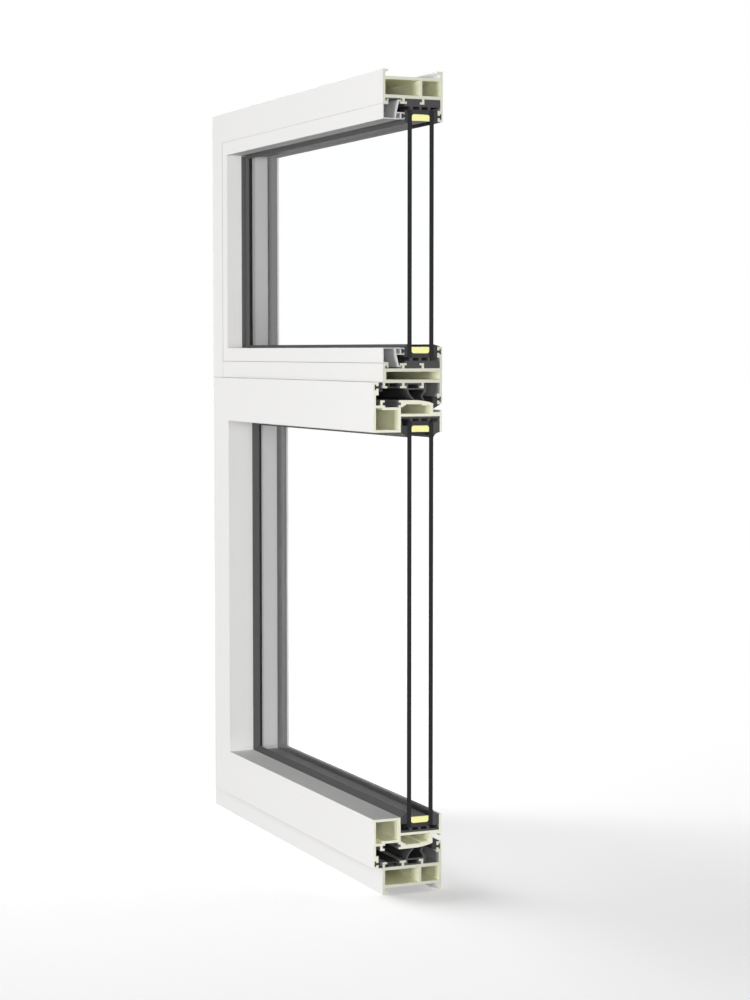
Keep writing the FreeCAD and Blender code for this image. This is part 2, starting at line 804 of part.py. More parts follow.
def inner_bond_profile():
    """The bond between the sash's teeth and the inner pane."""
    low = sash_top - size.bond_high
    return [[
        *bond_teeth(),
        (sash_inner, low),
        (size.glass_deep, low),
        (size.glass_deep, sash_top + size.bond_lap),
    ]]


def outer_bond_profile():
    """The bond between the weather flange and the outer pane, with a hollow fillet on the glass."""
    top = sash_top + size.flange_rise
    return [[
        (glass_back, size.sash_glass_high),
        (glass_back, top + size.bond_cover, size.bond_hollow),
        (weather_wall, top),
        (weather_wall, size.sash_glass_high),
    ]]


def make_sash():
    """The lower bay's sash: rails, stile, liner, bonds and the sealed unit."""
    profile_length("sash_top_rail", sash_profile(), "head", vent)
    profile_length("sash_stile", sash_profile(), "jamb", vent)
    profile_length("sash_bottom_rail", sash_profile(), "sill", vent)
    profile_ring("sash_liner", liner_profile(), vent)
    profile_ring("sash_inner_bond", inner_bond_profile(), vent)
    profile_ring("sash_outer_bond", outer_bond_profile(), vent)
    make_sealed_unit("sash", vent, size.sash_glass_high, sash_seal_low)


def centre_gasket_profile():
    """The centre gasket: a hollow base in the slot between the lips, and two fins to the sash's nose."""
    play = size.slack
    near = tee_back + play
    far = size.ell_deep - play
    mouth_near = near + size.lip_reach
    mouth_far = far - size.lip_reach
    wall = size.gasket_plate
    plate = size.lip_high + wall
    skirt = ell_back + size.skirt_gap
    fin = size.fin_thick
    tip = size.sash_lip - play
    waist = skirt - size.waist_in
    waist_high = plate + size.waist_high
    bend = size.waist_bend
    outline = [
        (near, size.floor_high),
        (near, lip_low - play),
        (mouth_near, lip_low - play),
        (mouth_near, size.lip_high),
        (near, size.lip_high),
        (near, plate),
        (mouth_near, plate, -size.fin_bend),
        (size.nose_flat, tip),
        (size.nose_flat + fin, tip - fin, size.fin_bend - fin),
        (mouth_near + fin * 1.5, plate),
        (skirt - fin, plate, bend),
        (waist, waist_high, -bend - fin),
        (waist + size.fin_flare, tip + play * 5),
        (waist + size.fin_flare + fin, tip + play * 2, bend + fin),
        (waist + fin * 1.3, waist_high, -bend),
        (skirt + wall, plate),
        (skirt + wall, size.floor_high + fin),
        (skirt, size.floor_high + fin),
        (skirt, size.lip_high),
        (mouth_far, size.lip_high),
        (mouth_far, lip_low - play),
        (far, lip_low - play),
        (far, size.floor_high),
    ]
    hollow = [
        (mouth_near + wall, size.floor_high + wall),
        (mouth_near + wall, size.lip_high),
        (mouth_far - wall, size.lip_high),
        (mouth_far - wall, size.floor_high + wall),
    ]
    return [outline, hollow]


def overlap_gasket_profile():
    """The gasket between the sash's overlap and the frame's face, with two soft lobes."""
    lips = -size.overlap_gap
    middle = size.sash_groove_high
    start = middle - size.groove_wide * 0.5
    touch = -size.slack
    curve = size.lobe_round
    low = middle - size.lobe_span
    high = middle + size.lobe_span
    return [[
        *gasket_root(lips, start, -1),
        (lips, low),
        (touch - curve, low, curve),
        (touch, low + curve),
        (touch - size.lobe_dip, middle - curve * 0.5),
        (touch - size.lobe_dip, middle + curve * 0.5),
        (touch, high - curve, curve),
        (touch - curve, high),
        (lips, high),
    ]]


def slot_cover_profile():
    """The cover strip between the face lip and the T lip, standing on the rebate floor."""
    near = hook_back + size.slack
    far = size.tee_deep - size.lip_reach - size.slack
    low = size.cover_low
    step = size.cover_thick
    return [[
        (near, low),
        (near, low + step),
        (far, low + step),
        (far, low),
        (far - step, low),
        (far - step, size.floor_high),
        (far - step - step, size.floor_high),
        (far - step - step, low),
        (near + step + step, low),
        (near + step + step, size.floor_high),
        (near + step, size.floor_high),
        (near + step, low),
    ]]


def make_weather_seals():
    """The seals round the sash and the covers on the frame's open slot."""
    profile_ring("centre_gasket", centre_gasket_profile(), vent)
    profile_ring("overlap_gasket", overlap_gasket_profile(), vent)
    front = nose_back + size.slack
    top = size.upstand_high + size.rebate_flap
    profile_ring("rebate_gasket", upstand_gasket_profile(front, groove_low, top), vent)
    profile_ring("slot_cover", slot_cover_profile(), vent)


def save_parts():
    """Check the whole document and write each sub-part to its own STEP file."""
    DOC.recompute()
    for item in DOC.Objects:
        if {"Invalid", "Error"} & set(item.State):
            raise RuntimeError(f"{item.Name} failed: {item.State}")
    os.makedirs("parts", exist_ok=True)
    parts = [item for item in DOC.Objects if item.TypeId in ("PartDesign::Body", "Part::Box")]
    for item in parts:
        shape = item.Shape
        if shape.isNull() or not shape.isValid() or not shape.Solids:
            raise RuntimeError(f"{item.Label} has no valid solid")
    for item in parts:
        item.Shape.exportStep(os.path.join("parts", f"{item.Label}.step"))
        print(f"{item.Label}: {item.Shape.Volume / 1000:.1f} cm3 in {len(item.Shape.Solids)} solid")


size = fill_sheet()

# Depths and heights that several profiles share, worked out from the sheet.
glass_back = size.glass_deep + size.pane_thick * 2 + size.pane_gap
groove_face = glass_back + size.outer_gasket
groove_deep = size.groove_lip + size.groove_room + size.groove_skin
frame_deep = groove_face + groove_deep
weather_wall = frame_deep - size.wall
groove_low = size.upstand_high - size.groove_rim - size.groove_wide
lip_low = size.lip_high - size.lip_thick
hook_back = size.wall + size.lip_reach
tee_back = size.tee_deep + size.wall
ell_back = size.ell_deep + size.wall
bead_deep = size.glass_deep - size.bead_gasket
socket_low = size.bead_high - size.socket_high
sash_proud = size.overlap_gap + groove_deep
sash_top = size.sash_low + size.sash_face
sash_inner = size.hardware_far + size.hardware_under
nose_back = groove_face - size.rebate_gap
sash_seal_low = size.sash_glass_high - size.seal_proud
room_face = (frame_deep - sash_proud) * -0.5

# The three bays, each with the heights of its lower and upper edge lines.
window = types.SimpleNamespace(low=length(0), top=size.window_tall)
fixed = types.SimpleNamespace(low=size.transom_middle - size.bay_overlap, top=size.window_tall)
vent = types.SimpleNamespace(low=length(0), top=size.transom_middle + size.bay_overlap)

make_frame()
make_transom()
make_fixed_light()
make_sash()
make_weather_seals()
save_parts()
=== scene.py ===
"""Studio scene of a cut-away corner sample of a tilt and turn window.

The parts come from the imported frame, and every distance is in metres in its frame: X along the width with
the cut at +X, Y from the room side to the weather side, Z up. Most operators finish one group of parts, one
adds the thin lips of a gasket, and the last one builds the studio with its floor, lamps, backdrop and camera.
"""

import math
from typing import NamedTuple

import bpy
from bpy.props import FloatProperty, FloatVectorProperty, PointerProperty
from bpy.types import Operator, Panel, PropertyGroup
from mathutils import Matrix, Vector


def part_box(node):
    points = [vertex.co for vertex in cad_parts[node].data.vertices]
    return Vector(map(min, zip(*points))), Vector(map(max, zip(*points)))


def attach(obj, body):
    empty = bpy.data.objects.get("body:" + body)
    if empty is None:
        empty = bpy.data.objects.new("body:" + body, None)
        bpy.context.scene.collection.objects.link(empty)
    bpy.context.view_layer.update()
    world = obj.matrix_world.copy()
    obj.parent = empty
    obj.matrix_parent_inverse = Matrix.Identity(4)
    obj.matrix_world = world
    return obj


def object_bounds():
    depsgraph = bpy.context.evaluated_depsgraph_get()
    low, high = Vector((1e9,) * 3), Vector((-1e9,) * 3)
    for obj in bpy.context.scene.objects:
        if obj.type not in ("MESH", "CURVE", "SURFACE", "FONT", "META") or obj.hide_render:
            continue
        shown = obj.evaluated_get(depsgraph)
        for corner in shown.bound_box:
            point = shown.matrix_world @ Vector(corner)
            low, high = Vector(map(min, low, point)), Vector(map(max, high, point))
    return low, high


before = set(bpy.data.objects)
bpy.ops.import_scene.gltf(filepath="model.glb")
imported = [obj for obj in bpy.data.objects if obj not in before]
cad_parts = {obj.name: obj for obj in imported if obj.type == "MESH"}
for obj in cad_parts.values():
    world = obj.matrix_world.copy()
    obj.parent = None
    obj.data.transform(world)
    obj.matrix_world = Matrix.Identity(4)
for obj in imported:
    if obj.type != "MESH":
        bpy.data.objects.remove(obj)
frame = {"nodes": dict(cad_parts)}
CAD_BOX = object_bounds()

bl_info = {
    "name": "Window corner sample",
    "version": (1, 0, 0),
    "blender": (4, 5, 0),
    "location": "3D View > Sidebar > Window sample",
    "description": "Finishes the parts of a cut-away tilt and turn window and sets up its studio",
    "category": "Object",
}

MM = 0.001

# How far off a plane a face may lie and still count as in it, and how straight it has to look along an axis.
HAIR = 0.05 * MM
FACING = 0.99

# The same for a spacer, whose edges slant: towards a pane, and up or down; faces that look up or down get
# painted shade.
SPACER_SIDEWAYS = 0.5
SHADED_SPACER_LEVEL = 0.9

ROOM_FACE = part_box("frame_sill")[0].y
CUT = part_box("frame_sill")[1].x
MIDDLE = (CAD_BOX[0] + CAD_BOX[1]) / 2

# Zones of the sections in millimetres: depth behind the frame's room face, from and to, then height inwards
# from the outer edge of the frame or sash, from and to. The transom's heights start at its middle line, and a
# bead's at its edge beside the glass.
# Painted shade goes on the rebate, groove, frame-side and glass-bed zones, painted shadow on the joint zones.
FRAME_CHAMBERS = (2.2, 52.2, 8.2, 20.7)
FRAME_REBATE = (0.7, 52.8, 20.9, 41.0)
FRAME_SEAM_SHADOW = (0.0, 0.4, 27.2, 28.4)
TRANSOM_CHAMBER = (3.2, 52.2, 0.0, 3.35)
TRANSOM_REBATE = (0.7, 52.8, 5.0, 23.6)
SASH_ROOM_CHAMBER = (-6.2, 14.4, 21.5, 39.7)
SASH_WEATHER_CHAMBER = (16.6, 44.0, 18.5, 26.5)
SASH_GROOVE = (0.0, 16.6, 0.0, 21.15)
SASH_FRAME_SIDE = (-7.7, 46.0, 0.0, 19.35)
SASH_GLASS_BED = (16.8, 53.6, 26.0, 41.6)
BEAD_SEAM_SHADOW = (0.0, 0.4, 12.5, 30.0)
BEAD_SKIN = 0.5 * MM

# Shares of a finish's colour for single parts; most paint light or shade into a copy, as marked below.
# Painted shade: dark grey in the frame's rebates, darker still in the sash's groove and rebates.
FRAME_RECESS_SHADE_SHARE = 1.2
SASH_RECESS_SHADE_SHARE = 0.75
# Painted shade on the sash's sawn cut, and painted light on the walls of its chambers.
SASH_SAWN_SHADE_SHARE = 0.9
SASH_RAW_LIGHT_SHARE = 1.07
BEAD_CUT_SHARE = 0.96
# Painted shadow in the joints between bead and frame: faint on the head, deeper on the jamb.
HEAD_SEAM_SHADOW_SHARE = 4.5
JAMB_SEAM_SHADOW_SHARE = 0.7
# Painted light on the sash's spacer face, and painted shade on the spacer faces that look up or down.
SASH_SPACER_LIGHT_SHARE = 1.34
LEVEL_SPACER_SHADE_SHARE = 0.3
INNER_GASKET_SHARE = 0.7
# Painted light on the centre gasket's cut.
CUT_FINS_LIGHT_SHARE = 1.9
OUTER_BOND_SHARE = 1.5

COAT_SHINE = 0.03
SOFT_SHINE = 0.06
GLASS_IOR = 1.52
LIP_CLEARANCE = 0.02 * MM
SMOOTH_ANGLE = math.radians(40)

# The floor, with the distances from the sample between which its glow rises to white, and the backdrop's
# light at the horizon and overhead as shares of the ambient strength.
FLOOR_RADIUS = 30.0
FLOOR_TONE = 0.8
UNSEEN_FLOOR_TONE = 0.15
GLOW_NEAR = 1.5
GLOW_FAR = 5.0
HORIZON_SHARE = 1.2
ZENITH_SHARE = 0.05


class Lamp(NamedTuple):
    """A soft lamp: its turn and rise in degrees, its distance and size in metres, and what it lights."""

    name: str
    azimuth: float
    elevation: float
    distance: float
    wide: float
    tall: float
    lights: str


LAMPS = (
    Lamp("key", azimuth=12, elevation=1.2, distance=7.0, wide=4.0, tall=1.0, lights="sample"),
    Lamp("side", azimuth=70, elevation=4, distance=2.4, wide=0.9, tall=0.6, lights="sample"),
    Lamp("cut", azimuth=90, elevation=-3, distance=2.4, wide=0.5, tall=0.3, lights="ends"),
    Lamp("head", azimuth=180, elevation=84, distance=3.2, wide=0.9, tall=0.6, lights="head"),
    Lamp("top", azimuth=5, elevation=40, distance=4.0, wide=2.4, tall=0.8, lights="sample"),
    Lamp("back", azimuth=165, elevation=1, distance=3.2, wide=2.4, tall=0.8, lights="sample"),
    Lamp("wall", azimuth=270, elevation=0, distance=3.2, wide=0.4, tall=1.0, lights="sample"),
    Lamp("floor", azimuth=-60, elevation=40, distance=3.2, wide=2.2, tall=2.2, lights="floor"),
    Lamp("far_floor", azimuth=190, elevation=28, distance=3.2, wide=2.2, tall=2.2, lights="floor"),
)


def colour_property(title, note, default):
    """A colour that the user can change."""
    return FloatVectorProperty(
        name=title, description=note, subtype="COLOR", size=3, min=0, max=1, default=default
    )


class SampleFinishes(PropertyGroup):
    """Colours of the finishes on the sample."""

    coat: colour_property("Coat", "White coat on the frame, transom, sash and beads", (0.86, 0.855, 0.845))
    sawn: colour_property("Sawn fibreglass", "Fibreglass where the profiles are cut", (0.93, 0.93, 0.77))
    raw: colour_property("Raw fibreglass", "Bare walls inside the chambers", (0.945, 0.95, 0.725))
    bead_inside: colour_property("Bead inside", "Bare inner walls of the beads", (0.8, 0.8, 0.795))
    # Painted shade: a dark grey in place of the coat on the faces in the rebates and the sash's groove.
    recess_shade: colour_property("Primer", "Uncoated faces behind the beads, seals and glass", (0.36, 0.36, 0.355))
    # Painted shadow on the rounded edges of the joint between bead and frame.
    seam: colour_property("Seam", "Rounded edges in the seam between bead and frame", (0.12, 0.12, 0.118))
    rubber: colour_property("Rubber", "Black seals", (0.066, 0.066, 0.067))
    cut_rubber: colour_property("Cut rubber", "Seals where they are cut", (0.07, 0.07, 0.072))
    lip: colour_property("Gasket lip", "Lips of the inner gasket, on the beads", (0.12, 0.12, 0.12))
    packer: colour_property("Packer", "Glazing packers and the sash's liner", (0.105, 0.103, 0.106))
    bond: colour_property("Bond", "Adhesive between sash and glass", (0.078, 0.078, 0.08))
    sealant: colour_property("Sealant", "Seal round the edge of the glass", (0.07, 0.068, 0.07))
    spacer_cut: colour_property("Spacer core", "Spacer bar where it is cut", (1.0, 0.97, 0.43))
    spacer_face: colour_property("Spacer face", "Spacer bar seen through the glass", (0.48, 0.478, 0.48))
    cut_glass: colour_property("Cut glass", "Sawn edge of the panes", (0.034, 0.034, 0.036))
    glass_edge: colour_property("Glass edge", "Ground edges of the panes", (0.13, 0.132, 0.13))
    glass: colour_property("Glass", "Tint of the panes", (0.998, 1.0, 1.0))


class SampleLips(PropertyGroup):
    """Sizes of the inner gasket's lips."""

    thick: FloatProperty(
        name="Lip thickness", description="Thickness of a lip beside the glass", unit="LENGTH",
        default=0.5 * MM, min=0.2 * MM, precision=5,
    )
    thinned: FloatProperty(
        name="Lip thinning", description="How much thinner a lip is at its free edge", unit="LENGTH",
        default=0.3 * MM, min=0, precision=5,
    )
    wide: FloatProperty(
        name="Lip width", description="Width of a lip across the bead", unit="LENGTH",
        default=4.6 * MM, min=MM, precision=5,
    )
    overhang: FloatProperty(
        name="Lip overhang", description="How far a lip reaches past the bead towards the glass",
        unit="LENGTH", default=0.3 * MM, min=0, precision=5,
    )
    rounding: FloatProperty(
        name="Lip rounding", description="Width of the rounding on a lip's edges", unit="LENGTH",
        default=0.08 * MM, min=0.01 * MM, precision=5,
    )


class SampleStudio(PropertyGroup):
    """Camera, lamps and backdrop."""

    view_azimuth: FloatProperty(
        name="View azimuth", description="Turn of the view from the room side towards the cut",
        subtype="ANGLE", unit="ROTATION", default=math.radians(66.4065),
    )
    view_elevation: FloatProperty(
        name="View elevation", description="Height of the view above the horizon",
        subtype="ANGLE", unit="ROTATION", default=math.radians(3.787),
    )
    view_place: FloatVectorProperty(
        name="Camera place", description="Where the camera stands", subtype="XYZ", unit="LENGTH", size=3,
        default=(1.91625, -0.77555, 0.45673),
    )
    view_lens: FloatProperty(
        name="Lens", description="Focal length in millimetres", default=80.94, min=10,
    )
    key_power: FloatProperty(
        name="Key power", description="Power of the lamp on the room side, in watts", default=380.0, min=0,
    )
    side_power: FloatProperty(
        name="Side power", description="Power of the lamp that faces the cut, in watts", default=20.0, min=0,
    )
    cut_power: FloatProperty(
        name="Cut power", description="Power of the lamp on the sash's cut and the spacers, in watts",
        default=12.5, min=0,
    )
    head_power: FloatProperty(
        name="Head power", description="Power of the lamp above the frame's head, in watts",
        default=55.0, min=0,
    )
    top_power: FloatProperty(
        name="Top power", description="Power of the lamp above the room side, in watts", default=12.0, min=0,
    )
    back_power: FloatProperty(
        name="Back power", description="Power of the lamp on the weather side, in watts", default=62.0, min=0,
    )
    wall_power: FloatProperty(
        name="Wall power", description="Power of the lamp on the jamb's wall side, in watts",
        default=70.0, min=0,
    )
    floor_power: FloatProperty(
        name="Floor power", description="Power of the lamp that lights the floor, in watts",
        default=95.0, min=0,
    )
    far_floor_power: FloatProperty(
        name="Far floor power", description="Power of the floor's lamp on the weather side, in watts",
        default=25.0, min=0,
    )
    ambient: FloatProperty(
        name="Ambient", description="Strength of the backdrop's light", default=0.13, min=0,
    )
    floor_glow: FloatProperty(
        name="Floor glow", description="How much white the floor near the sample shows to the camera",
        default=0.46, min=0,
    )


class Finish:
    """A material under construction: its node tree and a few shorthands."""

    def __init__(self, name):
        self.material = bpy.data.materials.new(name)
        self.material.use_nodes = True
        self.nodes = self.material.node_tree.nodes
        self.links = self.material.node_tree.links
        self.shader = self.nodes["Principled BSDF"]

    def add(self, kind, **settings):
        """Add a node; settings name its options or, where it has none of that name, its inputs."""
        made = self.nodes.new(kind)
        for setting, value in settings.items():
            if hasattr(made, setting):
                setattr(made, setting, value)
            else:
                made.inputs[setting.replace("_", " ").title()].default_value = value
        return made

    def link(self, source, target):
        """Join an output to an input."""
        self.links.new(source, target)

    def noise(self, scale, detail=3.0, stretch=(1, 1, 1)):
        """Noise on the sample's own coordinates, with stretch as the scale along each axis."""
        place = self.add("ShaderNodeTexCoord")
        turn = self.add("ShaderNodeMapping", Scale=stretch)
        cloud = self.add("ShaderNodeTexNoise", Scale=scale, Detail=detail)
        self.link(place.outputs["Object"], turn.inputs["Vector"])
        self.link(turn.outputs["Vector"], cloud.inputs["Vector"])
        return cloud.outputs["Fac"]

    def cells(self, scale, stretch=(1, 1, 1)):
        """Distance to the nearest of many small cells, for bundles of fibre."""
        place = self.add("ShaderNodeTexCoord")
        turn = self.add("ShaderNodeMapping", Scale=stretch)
        cloud = self.add("ShaderNodeTexVoronoi", Scale=scale)
        self.link(place.outputs["Object"], turn.inputs["Vector"])
        self.link(turn.outputs["Vector"], cloud.inputs["Vector"])
        return cloud.outputs["Distance"]

    def spread(self, source, low, high, start=0.3, end=0.7):
        """Map the middle of a pattern's range onto low to high."""
        mapped = self.add("ShaderNodeMapRange")
        mapped.inputs["From Min"].default_value = start
        mapped.inputs["From Max"].default_value = end
        mapped.inputs["To Min"].default_value = low
        mapped.inputs["To Max"].default_value = high
        self.link(source, mapped.inputs["Value"])
        return mapped.outputs["Result"]

    def blend(self, amount, first, second):
        """Mix two colours, each a colour or an output."""
        mixed = self.add("ShaderNodeMix", data_type="RGBA")
        self.link(amount, mixed.inputs["Factor"])
        sockets = [socket for socket in mixed.inputs if socket.type == "RGBA"]
        for colour, socket in zip((first, second), sockets):
            if isinstance(colour, bpy.types.NodeSocket):
                self.link(colour, socket)
            else:
                socket.default_value = (*colour, 1.0)
        return [socket for socket in mixed.outputs if socket.type == "RGBA"][0]

    def bump(self, source, depth):
        """Raise the surface by a pattern, depth in metres."""
        raised = self.add("ShaderNodeBump", Strength=1.0, Distance=depth)
        self.link(source, raised.inputs["Height"])
        self.link(raised.outputs["Normal"], self.shader.inputs["Normal"])


def shaded(colour, share):
    """The same colour, darker or lighter by a share."""
    return tuple(min(channel * share, 1.0) for channel in colour)


def satin_coat(name, colour, along):
    """White satin coat: a faint orange peel and the long draw lines of the profile under it."""
    finish = Finish(name)
    draw = [1.0, 1.0, 1.0]
    draw["XYZ".index(along)] = 0.02
    lines = finish.noise(scale=700.0, stretch=draw)
    peel = finish.noise(scale=900.0, detail=2.0)
    toned = finish.blend(lines, shaded(colour, 0.985), shaded(colour, 1.012))
    finish.link(toned, finish.shader.inputs["Base Color"])
    finish.link(finish.spread(peel, low=0.55, high=0.65), finish.shader.inputs["Roughness"])
    finish.bump(peel, depth=0.004 * MM)
    finish.shader.inputs["Specular IOR Level"].default_value = COAT_SHINE
    return finish.material


def sawn_fibreglass(name, colour):
    """The cut ends of the profiles: bundles of glass fibre in resin, with a trace of the saw."""
    finish = Finish(name)
    bundles = finish.cells(scale=2400.0, stretch=(0.2, 1, 1))
    mats = finish.noise(scale=500.0, detail=4.0, stretch=(0.2, 1, 1))
    bundle_share = finish.spread(bundles, low=0.0, high=1.0, start=0.1, end=0.6)
    speckle = finish.blend(bundle_share, shaded(colour, 1.04), shaded(colour, 0.93))
    toned = finish.blend(finish.spread(mats, low=0.0, high=0.5), speckle, shaded(colour, 0.96))
    finish.link(toned, finish.shader.inputs["Base Color"])
    finish.shader.inputs["Roughness"].default_value = 0.6
    saw = finish.noise(scale=1600.0, detail=2.0, stretch=(1, 0.05, 1))
    finish.bump(saw, depth=0.01 * MM)
    return finish.material


def raw_fibreglass(name, colour):
    """Bare chamber walls: long strands of fibre under yellowish resin."""
    finish = Finish(name)
    strands = finish.noise(scale=1300.0, detail=4.0, stretch=(0.02, 1, 1))
    clouds = finish.noise(scale=90.0, stretch=(0.3, 1, 1))
    strand_share = finish.spread(strands, low=0.0, high=1.0)
    streaks = finish.blend(strand_share, shaded(colour, 0.94), shaded(colour, 1.05))
    toned = finish.blend(finish.spread(clouds, low=0.0, high=0.4), streaks, shaded(colour, 0.92))
    finish.link(toned, finish.shader.inputs["Base Color"])
    finish.shader.inputs["Roughness"].default_value = 0.5
    finish.bump(strands, depth=0.01 * MM)
    return finish.material


def soft_plain(name, colour, roughness, grain=1500.0, depth=0.01, contrast=0.12):
    """Rubber, sealant or moulded plastic: one colour with a fine uneven grain, its depth in millimetres."""
    finish = Finish(name)
    clouds = finish.noise(scale=grain)
    toned = finish.blend(clouds, shaded(colour, 1 - contrast), shaded(colour, 1 + contrast))
    finish.link(toned, finish.shader.inputs["Base Color"])
    uneven = finish.spread(clouds, low=roughness - 0.05, high=roughness + 0.05)
    finish.link(uneven, finish.shader.inputs["Roughness"])
    finish.bump(clouds, depth=depth * MM)
    finish.shader.inputs["Specular IOR Level"].default_value = SOFT_SHINE
    return finish.material


def gap_side_glass(name, colour):
    """The side of a pane that faces the sealed gap: it only lets light through."""
    finish = Finish(name)
    finish.nodes.remove(finish.shader)
    through = finish.add("ShaderNodeBsdfTransparent")
    through.inputs["Color"].default_value = (*colour, 1.0)
    finish.link(through.outputs["BSDF"], finish.nodes["Material Output"].inputs["Surface"])
    return finish.material


def clear_glass(name, colour):
    """Clear float glass: it lets light straight through and mirrors more at a slant."""
    finish = Finish(name)
    finish.nodes.remove(finish.shader)
    through = finish.add("ShaderNodeBsdfTransparent")
    through.inputs["Color"].default_value = (*colour, 1.0)
    mirror = finish.add("ShaderNodeBsdfGlossy", Roughness=0.0, Color=(1.0, 1.0, 1.0, 1.0))
    slant = finish.add("ShaderNodeFresnel")
    slant.inputs["IOR"].default_value = GLASS_IOR
    side = finish.add("ShaderNodeNewGeometry")
    front = finish.add("ShaderNodeMath", operation="SUBTRACT")
    front.inputs[0].default_value = 1.0
    amount = finish.add("ShaderNodeMath", operation="MULTIPLY")
    both = finish.add("ShaderNodeMixShader")
    finish.link(side.outputs["Backfacing"], front.inputs[1])
    finish.link(slant.outputs["Fac"], amount.inputs[0])
    finish.link(front.outputs["Value"], amount.inputs[1])
    finish.link(amount.outputs["Value"], both.inputs["Fac"])
    finish.link(through.outputs["BSDF"], both.inputs[1])
    finish.link(mirror.outputs["BSDF"], both.inputs[2])
    finish.link(both.outputs["Shader"], finish.nodes["Material Output"].inputs["Surface"])
    return finish.material


def give_finishes(node, materials, choose):
    """Give a part its materials, choosing one for each face from its middle and its direction."""
    mesh = frame["nodes"][node].data
    mesh.materials.clear()
    for material in materials.values():
        mesh.materials.append(material)
    order = list(materials)
    for face in mesh.polygons:
        face.material_index = order.index(choose(face.center, face.normal))


def is_cut(middle, way):
    """Whether a face lies in the sample's cut."""
    return way.x > FACING and middle.x > CUT - HAIR


def in_zone(deep, high, zone):
    """Whether a depth and a height in metres lie in a zone in millimetres, its edges included."""
    near, far, low, top = (limit * MM for limit in zone)
    return near - HAIR <= deep <= far + HAIR and low - HAIR <= high <= top + HAIR


class FinishFrame(Operator):
    """Coat the frame and the transom, and leave their cuts and chambers bare"""

    bl_idname = "window_sample.finish_frame"
    bl_label = "Frame and transom"

    def execute(self, context):
        colours = context.scene.sample_finishes
        sawn = sawn_fibreglass("sawn_frame", colours.sawn)
        raw = raw_fibreglass("raw_frame", colours.raw)
        # Painted shade: the rebates take a dark grey in place of the coat, and the jamb's joint with the bead
        # a painted shadow.
        recess_shade = shaded(colours.recess_shade, FRAME_RECESS_SHADE_SHARE)
        primed = soft_plain("primed_frame", recess_shade, roughness=0.6, grain=900.0, contrast=0.06)
        seam = soft_plain("seam_frame", colours.seam, roughness=0.6)
        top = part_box("frame_head")[1].z
        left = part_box("frame_jamb")[0].x
        middle = sum(corner.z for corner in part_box("transom")) / 2
        outside = {
            "frame_sill": lambda place: place.z,
            "frame_head": lambda place: top - place.z,
            "frame_jamb": lambda place: place.x - left,
        }
        for node, height in outside.items():
            coat = satin_coat(f"coat_{node}", colours.coat, "Z" if node == "frame_jamb" else "X")

            def choose(place, way, node=node, height=height):
                if is_cut(place, way):
                    return "sawn"
                deep, high = place.y - ROOM_FACE, height(place)
                if node == "frame_jamb" and in_zone(deep, high, FRAME_SEAM_SHADOW) and way.y > -FACING:
                    return "seam"
                if in_zone(deep, high, FRAME_CHAMBERS):
                    return "raw"
                return "primed" if in_zone(deep, high, FRAME_REBATE) else "coat"

            finishes = {"coat": coat, "sawn": sawn, "raw": raw, "primed": primed, "seam": seam}
            give_finishes(node, finishes, choose)

        def choose_transom(place, way):
            if is_cut(place, way):
                return "sawn"
            deep, high = place.y - ROOM_FACE, abs(place.z - middle)
            if in_zone(deep, high, TRANSOM_CHAMBER):
                return "raw"
            return "primed" if in_zone(deep, high, TRANSOM_REBATE) else "coat"

        coat = satin_coat("coat_transom", colours.coat, "X")
        give_finishes("transom", {"coat": coat, "sawn": sawn, "raw": raw, "primed": primed}, choose_transom)
        return {"FINISHED"}


class FinishSash(Operator):
    """Coat the sash, and leave its cuts and chambers bare"""

    bl_idname = "window_sample.finish_sash"
    bl_label = "Sash"

    def execute(self, context):
        colours = context.scene.sample_finishes
        # Painted shade on the sawn cut and in the groove and rebates, and painted light on the chamber walls.
        sawn = sawn_fibreglass("sawn_sash", shaded(colours.sawn, SASH_SAWN_SHADE_SHARE))
        raw = raw_fibreglass("raw_sash", shaded(colours.raw, SASH_RAW_LIGHT_SHARE))
        recess_shade = shaded(colours.recess_shade, SASH_RECESS_SHADE_SHARE)
        primed = soft_plain("primed_sash", recess_shade, roughness=0.6, grain=900.0, contrast=0.06)
        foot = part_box("sash_bottom_rail")[0].z
        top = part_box("sash_top_rail")[1].z
        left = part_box("sash_stile")[0].x
        outside = {
            "sash_bottom_rail": lambda place: place.z - foot,
            "sash_top_rail": lambda place: top - place.z,
            "sash_stile": lambda place: place.x - left,
        }
        for node, height in outside.items():
            coat = satin_coat(f"coat_{node}", colours.coat, "Z" if node == "sash_stile" else "X")

            def choose(place, way, height=height):
                if is_cut(place, way):
                    return "sawn"
                deep, high = place.y - ROOM_FACE, height(place)
                if in_zone(deep, high, SASH_GROOVE):
                    return "primed"
                if in_zone(deep, high, SASH_ROOM_CHAMBER) or in_zone(deep, high, SASH_WEATHER_CHAMBER):
                    return "raw"
                bare = in_zone(deep, high, SASH_FRAME_SIDE) or in_zone(deep, high, SASH_GLASS_BED)
                return "primed" if bare else "coat"

            give_finishes(node, {"coat": coat, "sawn": sawn, "raw": raw, "primed": primed}, choose)
        return {"FINISHED"}


